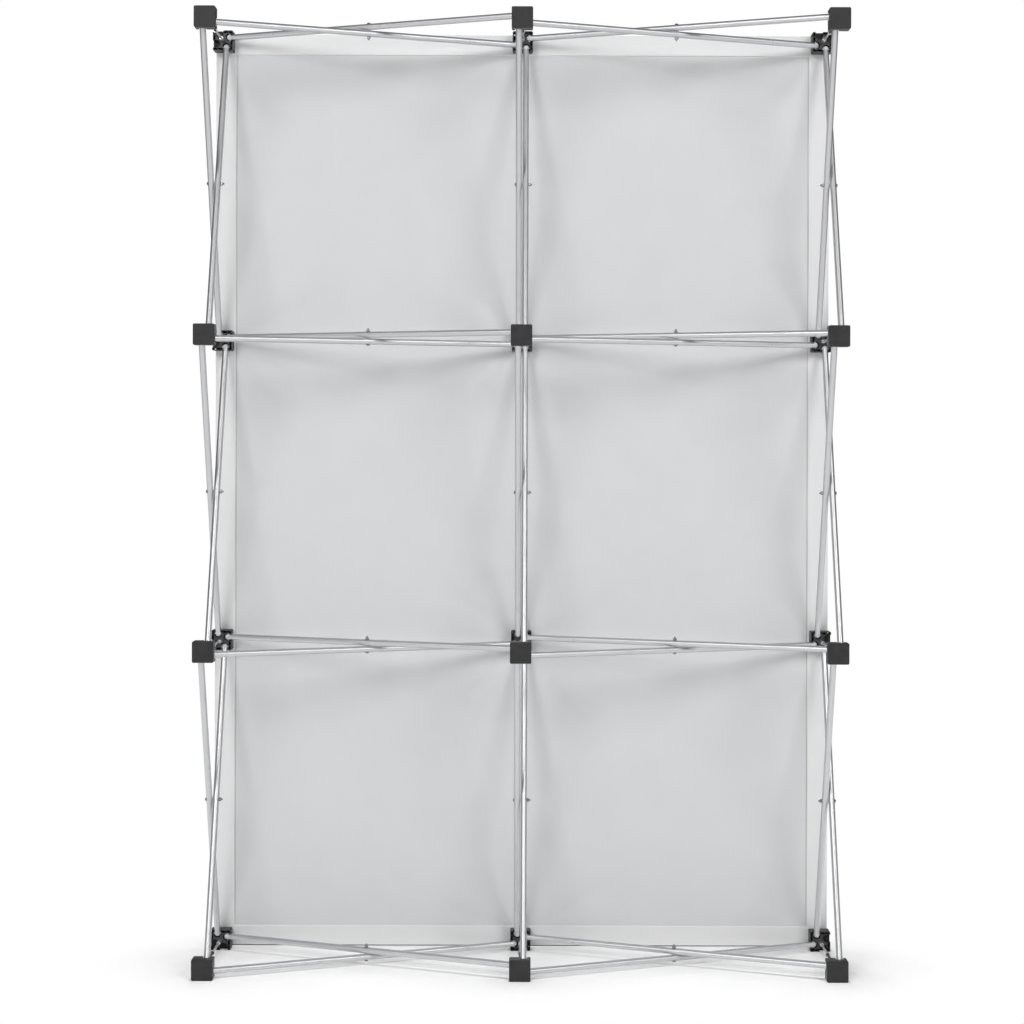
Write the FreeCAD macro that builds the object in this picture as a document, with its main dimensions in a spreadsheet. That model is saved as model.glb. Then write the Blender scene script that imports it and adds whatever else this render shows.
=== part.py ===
import FreeCAD, Part
import math
import os
import Sketcher

# Free-standing pop-up banner wall, modelled from its open back.
# Two layers of moulded hubs, three across and four high, are joined by pairs of
# aluminium tubes that cross like scissors, so the whole frame folds to a bundle.
# A hemmed fabric panel is held on the front layer of hubs by hook pads.
# X runs along the wall, Y from the open back to the fabric and Z upwards.
# The origin is on the floor, under the middle of the wall.

COLUMNS = ["left", "middle", "right"]
ROWS = ["bottom", "lower", "upper", "top"]
ACROSS_BAYS = ["left", "right"]
HEIGHT_BAYS = ["bottom", "centre", "top"]

# Driving dimensions in millimetres
DIMENSIONS = [
    ("hub_pitch", 739, "from hub to hub, across and up"),
    ("pin_depth", 264, "from the rear pivot pins to the front ones, opened out"),
    ("tube_diameter", 15, "outside of a tube"),
    ("tube_wall", 1.2, "wall of a tube"),
    ("crossing_gap", 1, "between two crossing tubes"),
    ("slot_clearance", 0.6, "around a tube's end in its hub"),
    ("hub_core", 7.9, "from a hub's centre lines to the ends of its slots"),
    ("hub_wall", 2, "walls of a hub"),
    ("corner_pocket", 4.9, "width of the hollows in a hub's corners"),
    ("hub_corner", 3.5, "radius of a hub's corners"),
    ("hub_face", 26, "from the pins to a hub's outer face"),
    ("hub_floor", 3, "floor under the slots"),
    ("rim_rise", 6, "from the pins to a hub's rim"),
    ("cap_thickness", 3.5, "plate that closes a hub's outer face"),
    ("cap_edge", 1.2, "rounding round a cap's face"),
    ("eyelet_width", 3.2, "width of the holes in a hub's corners"),
    ("eyelet_length", 6.4, "length of the holes in a hub's corners"),
    ("eyelet_deck", 9, "length of the deck that a hole goes through"),
    ("eyelet_recess", 3, "depth of that deck below the rim"),
    ("deck_web", 1.5, "rib beside that deck"),
    ("pad_size", 35, "side of a hook pad"),
    ("pad_thickness", 2, "thickness of a hook pad"),
    ("pin_diameter", 4, "pivot pins and crossing screws"),
    ("running_clearance", 0.05, "around a pin or screw, on the radius"),
    ("plug_head", 5, "from a pin to the end of the tube"),
    ("plug_insert", 18, "length of a plug inside the tube"),
    ("screw_head_diameter", 9, "domed head of a crossing screw"),
    ("screw_head_height", 2.8, "height of that head"),
    ("screw_tip", 3, "end of that screw that stands out of its nut"),
    ("nut_width", 8, "across the flats of a crossing nut"),
    ("nut_height", 3.8, "six-sided part of that nut"),
    ("nut_collar", 1.2, "height of the round locking collar on that nut"),
    ("nut_collar_diameter", 6.7, "that collar"),
    ("washer_diameter", 11, "washer between two crossing tubes"),
    ("washer_clearance", 0.2, "between a washer and each tube"),
    ("lock_seat", 10, "depth of a lock link in its hub"),
    ("collar_diameter", 8.6, "thick root of a lock link"),
    ("collar_length", 38, "from the pins to the end of that root"),
    ("link_diameter", 5.7, "thin part of a lock link"),
    ("cup_bore", 8, "inside of the cup on a front link"),
    ("cup_wall", 1.6, "wall of that cup"),
    ("cup_depth", 10, "depth of that cup"),
    ("cup_flare", 5, "length of the cone behind that cup"),
    ("ball_clearance", 0.5, "between the cup and the ball on a rear link"),
    ("ball_entry", 8, "reach of that ball into the cup"),
    ("hem_width", 50, "hem round the fabric panel"),
    ("hem_thickness", 1, "thickness of the hem and of the loop patches"),
    ("cloth_thickness", 1, "thickness of the fabric panel"),
    ("cloth_inset", 4, "from the edge of the outer hubs to the fabric's edge"),
    ("cut_overrun", 2, "how far a cut runs past what it cuts"),
]

doc = FreeCAD.newDocument("banner_wall")

sheet = doc.addObject("Spreadsheet::Sheet", "sizes")
for line, (alias, value, meaning) in enumerate(DIMENSIONS, start=1):
    sheet.set(f"A{line}", meaning)
    sheet.set(f"B{line}", str(value))
    sheet.setAlias(f"B{line}", alias)
doc.recompute()

derived = doc.addObject("App::VarSet", "derived")


def derive(name, formula):
    """A size that follows from others, kept as a plain number."""
    derived.addProperty("App::PropertyFloat", name)
    derived.setExpression(name, formula)
    doc.recompute()


# Sizes that follow from the driving dimensions
derive("tube_radius", "sizes.tube_diameter / 2")
derive("tube_bore", "derived.tube_radius - sizes.tube_wall")
derive("pin_radius", "sizes.pin_diameter / 2")
derive("bore_radius", "derived.pin_radius + sizes.running_clearance")
derive("slot_radius", "derived.tube_radius + sizes.slot_clearance")
derive("pin_offset", "(sizes.tube_diameter + sizes.crossing_gap) / 2")
derive("pin_reach", "sizes.hub_core + derived.slot_radius")
derive("pin_length", "2 * (derived.slot_radius + sizes.hub_wall)")
derive("slot_edge", "derived.pin_offset + derived.slot_radius")
derive("hub_half", "derived.slot_edge + 2 * sizes.hub_wall + sizes.corner_pocket")
derive("hub_size", "2 * derived.hub_half")
derive("hub_hollow", "derived.hub_half - sizes.hub_wall")
derive("housing_back", "sizes.cap_thickness - sizes.hub_face")
derive("tube_run", "sizes.hub_pitch - 2 * derived.pin_reach")
derive("tube_length", "sqrt(derived.tube_run ^ 2 + sizes.pin_depth ^ 2)")
derive("rest_tilt", "atan2(sizes.pin_depth; derived.tube_run) / 1 deg")
derive("front_stack", "sizes.hub_face + sizes.pad_thickness + sizes.hem_thickness + sizes.cloth_thickness")
derive("rear_pins", "sizes.hub_face - (sizes.hub_face + sizes.pin_depth + derived.front_stack) / 2")
derive("front_pins", "derived.rear_pins + sizes.pin_depth")
derive("cloth_back", "derived.front_pins + derived.front_stack - sizes.cloth_thickness")
derive("frame_width", f"{len(COLUMNS) - 1} * sizes.hub_pitch + derived.hub_size")
derive("frame_height", f"{len(ROWS) - 1} * sizes.hub_pitch + derived.hub_size")
derive("cloth_width", "derived.frame_width - 2 * sizes.cloth_inset")
derive("cloth_height", "derived.frame_height - 2 * sizes.cloth_inset")

X_AXIS = FreeCAD.Vector(1, 0, 0)
Y_AXIS = FreeCAD.Vector(0, 1, 0)
Z_AXIS = FreeCAD.Vector(0, 0, 1)


def bind(piece, **formulas):
    """Ties a piece's sizes to the sheet; base_x, base_y and base_z are its place."""
    places = {"base_x": "Placement.Base.x", "base_y": "Placement.Base.y", "base_z": "Placement.Base.z"}
    for name, formula in formulas.items():
        piece.setExpression(places.get(name, name), formula)
    return piece


def primitive(kind, label, turn=None, **formulas):
    """A Part primitive or boolean with bound sizes, turned about one axis where it has to be."""
    piece = doc.addObject(f"Part::{kind}", label)
    piece.Label = label
    if turn:
        axis, angle = turn
        piece.Placement.Rotation = FreeCAD.Rotation(axis, angle)
    return bind(piece, **formulas)


def group(label, links, turn=None, **formulas):
    """Separate solids kept together as one piece."""
    piece = primitive("Compound", label, turn, **formulas)
    piece.Links = links
    return piece


def cut(label, base, tool):
    piece = primitive("Cut", label)
    piece.Base = base
    piece.Tool = tool
    return piece


def fuse(label, shapes):
    piece = primitive("MultiFuse", label)
    piece.Shapes = shapes
    return piece


def origin_plane(body, role):
    return next(item for item in body.Origin.OriginFeatures if item.Role == role)


def new_body(label):
    body = doc.addObject("PartDesign::Body", label)
    body.Label = label
    return body


def new_sketch(body, name, level="0", plane="XY_Plane"):
    """A sketch on one of its body's own planes, lifted to a level."""
    sketch = body.newObject("Sketcher::SketchObject", name)
    sketch.AttachmentSupport = (origin_plane(body, plane), [""])
    sketch.MapMode = "FlatFace"
    sketch.setExpression("AttachmentOffset.Base.z", level)
    return sketch


def pin_point(sketch, geometry, point, x, y):
    """Holds a point of a sketch at two bound distances from the sketch's origin."""
    for kind, formula in (("DistanceX", x), ("DistanceY", y)):
        value = float(sketch.evalExpression(formula))
        index = sketch.addConstraint(Sketcher.Constraint(kind, -1, 1, geometry, point, value))
        name = f"{kind}_{geometry}_{point}"
        sketch.renameConstraint(index, name)
        sketch.setExpression(f"Constraints.{name}", formula)


def sketch_outline(sketch, corners):
    """A closed outline of straight lines through bound corners."""
    read = sketch.evalExpression
    places = [FreeCAD.Vector(float(read(across)), float(read(up)), 0) for across, up in corners]
    last = len(corners) - 1
    for index, place in enumerate(places):
        sketch.addGeometry(Part.LineSegment(place, places[0 if index == last else index + 1]))
    for index, corner in enumerate(corners):
        following = 0 if index == last else index + 1
        sketch.addConstraint(Sketcher.Constraint("Coincident", index, 2, following, 1))
        pin_point(sketch, index, 1, *corner)


def sketch_square(sketch, half):
    sketch_outline(sketch, [(f"-{half}", f"-{half}"), (half, f"-{half}"), (half, half), (f"-{half}", half)])


def sketch_circle(sketch, radius):
    """A circle round the sketch's origin."""
    circle = Part.Circle(FreeCAD.Vector(), Z_AXIS, float(sketch.evalExpression(radius)))
    sketch.addGeometry(circle)
    sketch.addConstraint(Sketcher.Constraint("Coincident", 0, 3, -1, 1))
    index = sketch.addConstraint(Sketcher.Constraint("Radius", 0, circle.Radius))
    sketch.renameConstraint(index, "radius")
    sketch.setExpression("Constraints.radius", radius)


def sketch_slot(sketch, start, end, height, radius):
    """A slot with two round ends, whose centres are at start and end."""
    bound = (start, end, height, radius)
    first, second, level, size = (float(sketch.evalExpression(item)) for item in bound)
    centres = [FreeCAD.Vector(first, level, 0), FreeCAD.Vector(second, level, 0)]
    rise = FreeCAD.Vector(0, size, 0)
    quarter = math.pi / 2
    ends = [Part.ArcOfCircle(Part.Circle(centres[0], Z_AXIS, size), quarter, 3 * quarter),
            Part.ArcOfCircle(Part.Circle(centres[1], Z_AXIS, size), -quarter, quarter)]
    sides = [Part.LineSegment(centres[0] - rise, centres[1] - rise),
             Part.LineSegment(centres[1] + rise, centres[0] + rise)]
    for item in (ends[0], sides[0], ends[1], sides[1]):
        sketch.addGeometry(item)
    for index in range(4):
        sketch.addConstraint(Sketcher.Constraint("Tangent", index, 2, (index + 1) % 4, 1))
    sketch.addConstraint(Sketcher.Constraint("Equal", 0, 2))
    pin_point(sketch, 0, 3, start, height)
    pin_point(sketch, 2, 3, end, height)
    index = sketch.addConstraint(Sketcher.Constraint("Radius", 0, size))
    sketch.renameConstraint(index, "radius")
    sketch.setExpression("Constraints.radius", radius)


def pad(body, name, sketch, length):
    feature = body.newObject("PartDesign::Pad", name)
    feature.Profile = sketch
    sketch.Visibility = False
    return bind(feature, Length=length)


def pocket(body, name, sketch, depth, upwards=False):
    feature = body.newObject("PartDesign::Pocket", name)
    feature.Profile = sketch
    feature.Reversed = upwards
    sketch.Visibility = False
    return bind(feature, Length=depth)


def round_edges(body, name, base, radius, chosen):
    """Rounds the edges of a feature that the test picks."""
    doc.recompute()
    edges = [f"Edge{index}" for index, edge in enumerate(base.Shape.Edges, start=1) if chosen(edge)]
    feature = body.newObject("PartDesign::Fillet", name)
    feature.Base = (base, edges)
    return bind(feature, Radius=radius)


def turned(label, outline):
    """A body turned about Z from an outline of radius and height."""
    body = new_body(label)
    sketch = new_sketch(body, f"{label}_outline", plane="XZ_Plane")
    sketch_outline(sketch, outline)
    turning = body.newObject("PartDesign::Revolution", f"{label}_turning")
    turning.Profile = sketch
    turning.ReferenceAxis = (sketch, ["V_Axis"])
    turning.Angle = 360
    sketch.Visibility = False
    return body


def upright_edge(edge):
    """True for an edge that runs along a hub's axis."""
    box = edge.BoundBox
    return box.ZLength > box.XLength + box.YLength


# Hub housing, the same moulding in both layers.
# A hub is modelled with its pins at height zero, its rim upwards and its outer
# face downwards; the four tubes enter like the arms of a pinwheel.

housing = new_body("hub_housing")
block_sketch = new_sketch(housing, "block_outline", "derived.housing_back")
sketch_square(block_sketch, "derived.hub_half")
block = pad(housing, "block", block_sketch, "sizes.rim_rise - derived.housing_back")
corners = round_edges(housing, "block_corners", block, "sizes.hub_corner", upright_edge)

hollow_sketch = new_sketch(housing, "hollow_outline", "derived.housing_back")
sketch_square(hollow_sketch, "derived.hub_hollow")
hollow = pocket(housing, "hollow", hollow_sketch,
                "-derived.housing_back - derived.slot_radius - sizes.hub_floor", upwards=True)

slot_sketch = new_sketch(housing, "slot_outline", "sizes.rim_rise")
sketch_slot(slot_sketch, "derived.pin_reach", "derived.hub_half + derived.slot_radius + sizes.cut_overrun",
            "derived.pin_offset", "derived.slot_radius")
slot = pocket(housing, "slot", slot_sketch, "sizes.rim_rise + derived.slot_radius")

pocket_sketch = new_sketch(housing, "pocket_outline", "sizes.rim_rise")
pocket_start = "derived.slot_radius - derived.pin_offset + sizes.hub_wall"
pocket_end = "derived.hub_hollow - sizes.eyelet_deck - sizes.deck_web"
pocket_low = "derived.slot_edge + sizes.hub_wall"
sketch_outline(pocket_sketch, [(pocket_start, pocket_low), (pocket_end, pocket_low),
                               (pocket_end, "derived.hub_hollow"), (pocket_start, "derived.hub_hollow")])
corner_hollow = pocket(housing, "corner_hollow", pocket_sketch, "sizes.rim_rise + derived.slot_radius")

deck_sketch = new_sketch(housing, "deck_outline", "sizes.rim_rise")
deck_start = "derived.hub_hollow - sizes.eyelet_deck"
deck_end = "derived.hub_hollow"
sketch_outline(deck_sketch, [(deck_start, pocket_low), (deck_end, pocket_low),
                             (deck_end, deck_end), (deck_start, deck_end)])
deck = pocket(housing, "eyelet_deck_recess", deck_sketch, "sizes.eyelet_recess")

EYELET_MIDDLE = "(derived.hub_hollow - sizes.eyelet_deck / 2)"
EYELET_REACH = "(sizes.eyelet_length - sizes.eyelet_width) / 2"
EYELET_HEIGHT = "derived.hub_hollow - sizes.corner_pocket / 2"


def eyelet_sketch(body, name, level):
    """The long hole in a hub's corner."""
    sketch = new_sketch(body, name, level)
    sketch_slot(sketch, f"{EYELET_MIDDLE} - {EYELET_REACH}", f"{EYELET_MIDDLE} + {EYELET_REACH}",
                EYELET_HEIGHT, "sizes.eyelet_width / 2")
    return sketch


def four_times(body, name, features):
    """Repeats features at every quarter turn about a hub's axis."""
    pattern = body.newObject("PartDesign::PolarPattern", name)
    pattern.Originals = features
    pattern.Axis = (origin_plane(body, "Z_Axis"), [""])
    pattern.Angle = 360
    pattern.Occurrences = 4
    body.Tip = pattern
    return pattern


eyelet = pocket(housing, "eyelet", eyelet_sketch(housing, "eyelet_outline", "sizes.rim_rise"),
                "sizes.rim_rise - derived.housing_back")
four_times(housing, "four_arms", [slot, corner_hollow, deck, eyelet])

seat_sketch = new_sketch(housing, "lock_seat_outline", "sizes.rim_rise")
sketch_circle(seat_sketch, "sizes.collar_diameter / 2")
pocket(housing, "lock_seat_bore", seat_sketch, "sizes.lock_seat")

# Pivot pins, one across each slot, and the housing with the holes that hold them

pins = []
for quarter_turn, name in enumerate(["right", "up", "left", "down"]):
    straight_pin = primitive("Cylinder", f"pivot_pin_{name}_upright", (X_AXIS, -90),
                             Radius="derived.pin_radius", Height="derived.pin_length",
                             base_x="derived.pin_reach",
                             base_y="derived.pin_offset - derived.pin_length / 2")
    pins.append(group(f"pivot_pin_{name}", [straight_pin], (Z_AXIS, 90 * quarter_turn)))
bored_housing = cut("bored_housing", housing, group("pin_holes", pins))

# Plates that close the outer face of a hub, and the hook pad of a front hub


def face_plate(label, with_eyelets):
    """A square plate with rounded corners and a softened outer edge."""
    body = new_body(label)
    sketch = new_sketch(body, f"{label}_outline", "-sizes.hub_face")
    sketch_square(sketch, "derived.hub_half")
    plate = pad(body, f"{label}_plate", sketch, "sizes.cap_thickness")
    rounded = round_edges(body, f"{label}_corners", plate, "sizes.hub_corner", upright_edge)
    middle = sheet.get("cap_thickness") / 2 - sheet.get("hub_face")
    softened = round_edges(body, f"{label}_edge", rounded, "sizes.cap_edge",
                           lambda edge: edge.BoundBox.ZMax < middle)
    if with_eyelets:
        hole = pocket(body, f"{label}_eyelet",
                      eyelet_sketch(body, f"{label}_eyelet_outline", "sizes.cap_thickness - sizes.hub_face"),
                      "sizes.cap_thickness + sizes.cut_overrun")
        four_times(body, f"{label}_eyelets", [hole])
    else:
        body.Tip = softened
    return body


rear_cap = face_plate("rear_cap", with_eyelets=False)
front_plate = face_plate("front_plate", with_eyelets=True)
hook_pad = primitive("Box", "hook_pad", Length="sizes.pad_size", Width="sizes.pad_size",
                     Height="sizes.pad_thickness", base_x="-sizes.pad_size / 2",
                     base_y="-sizes.pad_size / 2", base_z="-sizes.hub_face - sizes.pad_thickness")

# Lock links: a rod with a cup on each front hub, and a rod with a ball on the rear one.
# They meet half way between the two layers and pull apart as the frame folds.

LINK_ROOT = "sizes.rim_rise - sizes.lock_seat"
CUP_MOUTH = "sizes.pin_depth / 2"
cup_radius = "sizes.cup_bore / 2"
cup_outside = "sizes.cup_bore / 2 + sizes.cup_wall"
cup_floor = f"{CUP_MOUTH} - sizes.cup_depth"
flare_start = f"{cup_floor} - sizes.cup_flare"
front_link = turned("front_link", [
    ("0", LINK_ROOT), ("sizes.collar_diameter / 2", LINK_ROOT),
    ("sizes.collar_diameter / 2", "sizes.collar_length"), ("sizes.link_diameter / 2", "sizes.collar_length"),
    ("sizes.link_diameter / 2", flare_start), (cup_outside, cup_floor), (cup_outside, CUP_MOUTH),
    (cup_radius, CUP_MOUTH), (cup_radius, cup_floor), ("0", cup_floor)])

ball_radius = "(sizes.cup_bore / 2 - sizes.ball_clearance)"
ball_middle = f"{CUP_MOUTH} + sizes.ball_entry - {ball_radius}"
rear_rod = turned("rear_rod", [
    ("0", LINK_ROOT), ("sizes.collar_diameter / 2", LINK_ROOT),
    ("sizes.collar_diameter / 2", "sizes.rim_rise"), ("sizes.link_diameter / 2", "sizes.rim_rise"),
    ("sizes.link_diameter / 2", ball_middle), ("0", ball_middle)])
rear_ball = primitive("Sphere", "rear_ball", Radius=ball_radius, base_z=ball_middle)
rear_link = fuse("rear_link", [rear_rod, rear_ball])

# Tubes, modelled upright from the pin at their lower end, with the pins along X

wall_length = "derived.tube_length - 2 * sizes.plug_head"
tube_solid = primitive("Cylinder", "tube_outside", Radius="derived.tube_radius", Height=wall_length,
                       base_z="sizes.plug_head")
tube_hollow = primitive("Cylinder", "tube_inside", Radius="derived.tube_bore", Height=wall_length,
                        base_z="sizes.plug_head")
screw_hole = primitive("Cylinder", "screw_hole", (Y_AXIS, 90), Radius="derived.bore_radius",
                       Height="sizes.tube_diameter + 2 * sizes.cut_overrun",
                       base_x="-derived.tube_radius - sizes.cut_overrun", base_z="derived.tube_length / 2")
tube = cut("tube", cut("tube_drawn", tube_solid, tube_hollow), screw_hole)

plug_dome = primitive("Sphere", "plug_dome", Radius="derived.tube_radius")
plug_dome.Angle2 = 0
plug_neck = primitive("Cylinder", "plug_neck", Radius="derived.tube_radius", Height="sizes.plug_head")
plug_stem = primitive("Cylinder", "plug_stem", Radius="derived.tube_bore",
                      Height="sizes.plug_head + sizes.plug_insert")
plug_bore = primitive("Cylinder", "plug_bore", (Y_AXIS, 90), Radius="derived.bore_radius",
                      Height="sizes.tube_diameter + 2 * sizes.cut_overrun",
                      base_x="-derived.tube_radius - sizes.cut_overrun")
low_plug = cut("low_plug", fuse("plug_blank", [plug_dome, plug_neck, plug_stem]), plug_bore)
high_plug = group("high_plug", [low_plug], (X_AXIS, 180), base_z="derived.tube_length")

# Crossing screw with a domed head, its lock nut and the washer between the tubes

HALFWAY = "derived.tube_length / 2"
HEAD_RISE = "sizes.screw_head_height"
DOME_RADIUS = f"((sizes.screw_head_diameter / 2) ^ 2 + {HEAD_RISE} ^ 2) / (2 * {HEAD_RISE})"
head_stand = "derived.tube_radius + sizes.washer_clearance"
nut_seat = f"2 * derived.pin_offset + {head_stand}"
nut_full_height = "sizes.nut_height + sizes.nut_collar"


def along_pins(kind, label, start, height, radius):
    """A round or six-sided piece on the crossing's axis, from a bound place."""
    sizes = {"Circumradius": radius} if kind == "Prism" else {"Radius": radius}
    return primitive(kind, label, (Y_AXIS, 90), Height=height, base_x=start, base_z=HALFWAY, **sizes)


shank = along_pins("Cylinder", "screw_shank", f"-({head_stand})",
                   f"{head_stand} + {nut_seat} + {nut_full_height} + sizes.screw_tip", "derived.pin_radius")
screw_head = primitive("Sphere", "screw_head", (Y_AXIS, -90), Radius=DOME_RADIUS,
                       Angle1=f"asin(1 - {HEAD_RISE} / ({DOME_RADIUS}))",
                       base_x=f"{DOME_RADIUS} - {HEAD_RISE} - ({head_stand})", base_z=HALFWAY)
screw = fuse("crossing_screw", [shank, screw_head])
nut_hexagon = along_pins("Prism", "nut_hexagon", nut_seat, "sizes.nut_height", "sizes.nut_width / sqrt(3)")
nut_round = along_pins("Cylinder", "nut_round", nut_seat, nut_full_height, "sizes.nut_collar_diameter / 2")
nut = cut("crossing_nut", fuse("nut_blank", [nut_hexagon, nut_round]), shank)
washer_disc = along_pins("Cylinder", "washer_disc", head_stand,
                         "sizes.crossing_gap - 2 * sizes.washer_clearance", "sizes.washer_diameter / 2")
washer = cut("washer", washer_disc, shank)
crossing = group("crossing", [screw, nut, washer])
turned_crossing = group("turned_crossing", [crossing], (Z_AXIS, 180), base_x="2 * derived.pin_offset")

# The same tubes laid along X, with their pins along Z, for the bays across the wall

TURN_DOWN = (FreeCAD.Vector(1, 0, 1), 180)
plain_tube = [tube, low_plug, high_plug]
flat_tube = [group(f"flat_{piece.Label}", [piece], TURN_DOWN) for piece in plain_tube]
flat_crossing = group("flat_crossing", [crossing], TURN_DOWN)
flat_turned_crossing = group("flat_turned_crossing", [turned_crossing], TURN_DOWN)

# Sub-parts, each under the name of its own file

sub_parts = []


def place(label, links, turn, tilt=None, **formulas):
    """Makes a sub-part: its solids, turned and set in the wall."""
    piece = group(label, links, turn, **formulas)
    if tilt:
        piece.setExpression("Placement.Rotation.Angle", tilt)
    sub_parts.append(piece)


def column_place(index):
    return f"{index - (len(COLUMNS) - 1) / 2} * sizes.hub_pitch"


def row_place(index):
    return f"derived.hub_half + {index} * sizes.hub_pitch"


for column, column_name in enumerate(COLUMNS):
    for row, row_name in enumerate(ROWS):
        used = {"right": column < len(COLUMNS) - 1, "left": column > 0,
                "up": row < len(ROWS) - 1, "down": row > 0}
        front_pins = [pin for pin in pins if used[pin.Label.rsplit("_")[-1]]]
        mirrored = dict(used, up=used["down"], down=used["up"])
        rear_pins = [pin for pin in pins if mirrored[pin.Label.rsplit("_")[-1]]]
        spot = {"base_x": column_place(column), "base_z": row_place(row)}
        place(f"rear_hub_{column_name}_{row_name}", [bored_housing, rear_cap, rear_link] + rear_pins,
              (X_AXIS, -90), base_y="derived.rear_pins", **spot)
        place(f"front_hub_{column_name}_{row_name}",
              [bored_housing, front_plate, hook_pad, front_link] + front_pins,
              (X_AXIS, 90), base_y="derived.front_pins", **spot)

# Tubes across the wall: the nuts stand above them, but hang below them in the top row
for bay, bay_name in enumerate(ACROSS_BAYS):
    for row, row_name in enumerate(ROWS):
        start = f"{column_place(bay)} + derived.pin_reach"
        joined = flat_turned_crossing if row_name == "top" else flat_crossing
        place(f"cross_tube_{bay_name}_{row_name}_low", flat_tube + [joined], (Z_AXIS, 1),
              tilt="derived.rest_tilt", base_x=start, base_y="derived.rear_pins",
              base_z=f"{row_place(row)} - derived.pin_offset")
        place(f"cross_tube_{bay_name}_{row_name}_high", flat_tube, (Z_AXIS, 1),
              tilt="-derived.rest_tilt", base_x=start, base_y="derived.front_pins",
              base_z=f"{row_place(row)} + derived.pin_offset")

# Upright tubes: the nuts are on the right, but on the left in the right column
for column, column_name in enumerate(COLUMNS):
    for bay, bay_name in enumerate(HEIGHT_BAYS):
        start = f"{row_place(bay)} + derived.pin_reach"
        joined = turned_crossing if column_name == "right" else crossing
        place(f"upright_tube_{column_name}_{bay_name}_left", plain_tube + [joined], (X_AXIS, 1),
              tilt="derived.rest_tilt", base_x=f"{column_place(column)} - derived.pin_offset",
              base_y="derived.front_pins", base_z=start)
        place(f"upright_tube_{column_name}_{bay_name}_right", plain_tube, (X_AXIS, 1),
              tilt="-derived.rest_tilt", base_x=f"{column_place(column)} + derived.pin_offset",
              base_y="derived.rear_pins", base_z=start)

# Fabric panel, and behind it the hem with the loop patches of the two inner hubs

panel = primitive("Box", "panel_sheet", Length="derived.cloth_width", Width="sizes.cloth_thickness",
                  Height="derived.cloth_height", base_x="-derived.cloth_width / 2")
place("fabric_panel", [panel], None, base_y="derived.cloth_back", base_z="sizes.cloth_inset")

hem_sheet = primitive("Box", "hem_sheet", Length="derived.cloth_width", Width="sizes.hem_thickness",
                      Height="derived.cloth_height", base_x="-derived.cloth_width / 2")
hem_window = primitive("Box", "hem_window", Length="derived.cloth_width - 2 * sizes.hem_width",
                       Width="sizes.hem_thickness + 2 * sizes.cut_overrun",
                       Height="derived.cloth_height - 2 * sizes.hem_width",
                       base_x="sizes.hem_width - derived.cloth_width / 2", base_y="-sizes.cut_overrun",
                       base_z="sizes.hem_width")
patches = []
for row, row_name in list(enumerate(ROWS))[1:-1]:
    patches.append(primitive("Box", f"loop_patch_{row_name}", Length="derived.hub_size",
                             Width="sizes.hem_thickness", Height="derived.hub_size",
                             base_x="-derived.hub_half",
                             base_z=f"{row_place(row)} - derived.hub_half - sizes.cloth_inset"))
place("fabric_hem", [cut("hem", hem_sheet, hem_window)] + patches, None,
      base_y="derived.cloth_back - sizes.hem_thickness", base_z="sizes.cloth_inset")

# Checks, then one file for each sub-part

doc.recompute()
for item in doc.Objects:
    if "Invalid" in item.State or "Error" in item.State:
        raise RuntimeError(f"{item.Label} failed: {item.State}")
for piece in sub_parts:
    if piece.Shape.isNull() or not piece.Shape.isValid():
        raise RuntimeError(f"{piece.Label} has no valid shape")

os.makedirs("parts", exist_ok=True)
for piece in sub_parts:
    piece.Shape.exportStep(f"parts/{piece.Label}.step")
print(f"{len(sub_parts)} sub-parts, {sum(len(piece.Shape.Solids) for piece in sub_parts)} solids")
print(f"tube from pin to pin {derived.tube_length:.2f}, tilt {derived.rest_tilt:.3f} degrees")
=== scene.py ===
import math

import bmesh
import bpy
import numpy as np
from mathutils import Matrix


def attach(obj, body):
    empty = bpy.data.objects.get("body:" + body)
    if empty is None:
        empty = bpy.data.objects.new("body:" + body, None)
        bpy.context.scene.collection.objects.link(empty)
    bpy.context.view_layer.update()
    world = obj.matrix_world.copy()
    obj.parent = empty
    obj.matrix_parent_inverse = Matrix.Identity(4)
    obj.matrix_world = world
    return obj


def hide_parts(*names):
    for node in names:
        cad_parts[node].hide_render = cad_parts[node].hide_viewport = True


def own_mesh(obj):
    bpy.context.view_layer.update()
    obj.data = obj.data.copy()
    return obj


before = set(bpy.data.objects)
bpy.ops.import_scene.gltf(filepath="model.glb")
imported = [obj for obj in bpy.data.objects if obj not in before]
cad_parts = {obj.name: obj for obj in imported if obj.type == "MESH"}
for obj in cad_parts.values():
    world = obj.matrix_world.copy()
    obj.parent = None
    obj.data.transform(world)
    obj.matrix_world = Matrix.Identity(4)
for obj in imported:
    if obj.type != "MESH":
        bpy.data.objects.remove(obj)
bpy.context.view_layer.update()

scene = bpy.context.scene

# Sizes of the wall in metres, as in the part's source. X runs along the wall, Y from the open back to the
# fabric and Z up. A hub's slot runs along u from its pin outwards, and lies PIN_OFFSET off the hub's middle.

COLUMNS = ["left", "middle", "right"]
ROWS = ["bottom", "lower", "upper", "top"]
ACROSS_BAYS = ["left", "right"]
HEIGHT_BAYS = ["bottom", "centre", "top"]

HUB_PITCH = 0.739
HUB_HALF = 0.025
PIN_OFFSET = 0.008
PIN_REACH = 0.016
REAR_PINS = -0.134
FRONT_PINS = 0.130
RIM_RISE = 0.006
TUBE_RADIUS = 0.0075
PLUG_HEAD = 0.005
SLOT_RADIUS = 0.0081
SLOT_START = PIN_REACH
EYELET_ALONG = 0.0185
EYELET_ACROSS = 0.02055
EYELET_HALF_RUN = 0.0016
EYELET_RADIUS = 0.0016
CLOTH_SIDE = 0.760
CLOTH_FOOT = 0.004
CLOTH_HEAD = 2.263
CLOTH_BACK = 0.159
CLOTH_FRONT = 0.160
HEM_WIDTH = 0.050

X_AXIS = np.array([1.0, 0.0, 0.0])
Z_AXIS = np.array([0.0, 0.0, 1.0])

WELD = 1e-7


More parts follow.
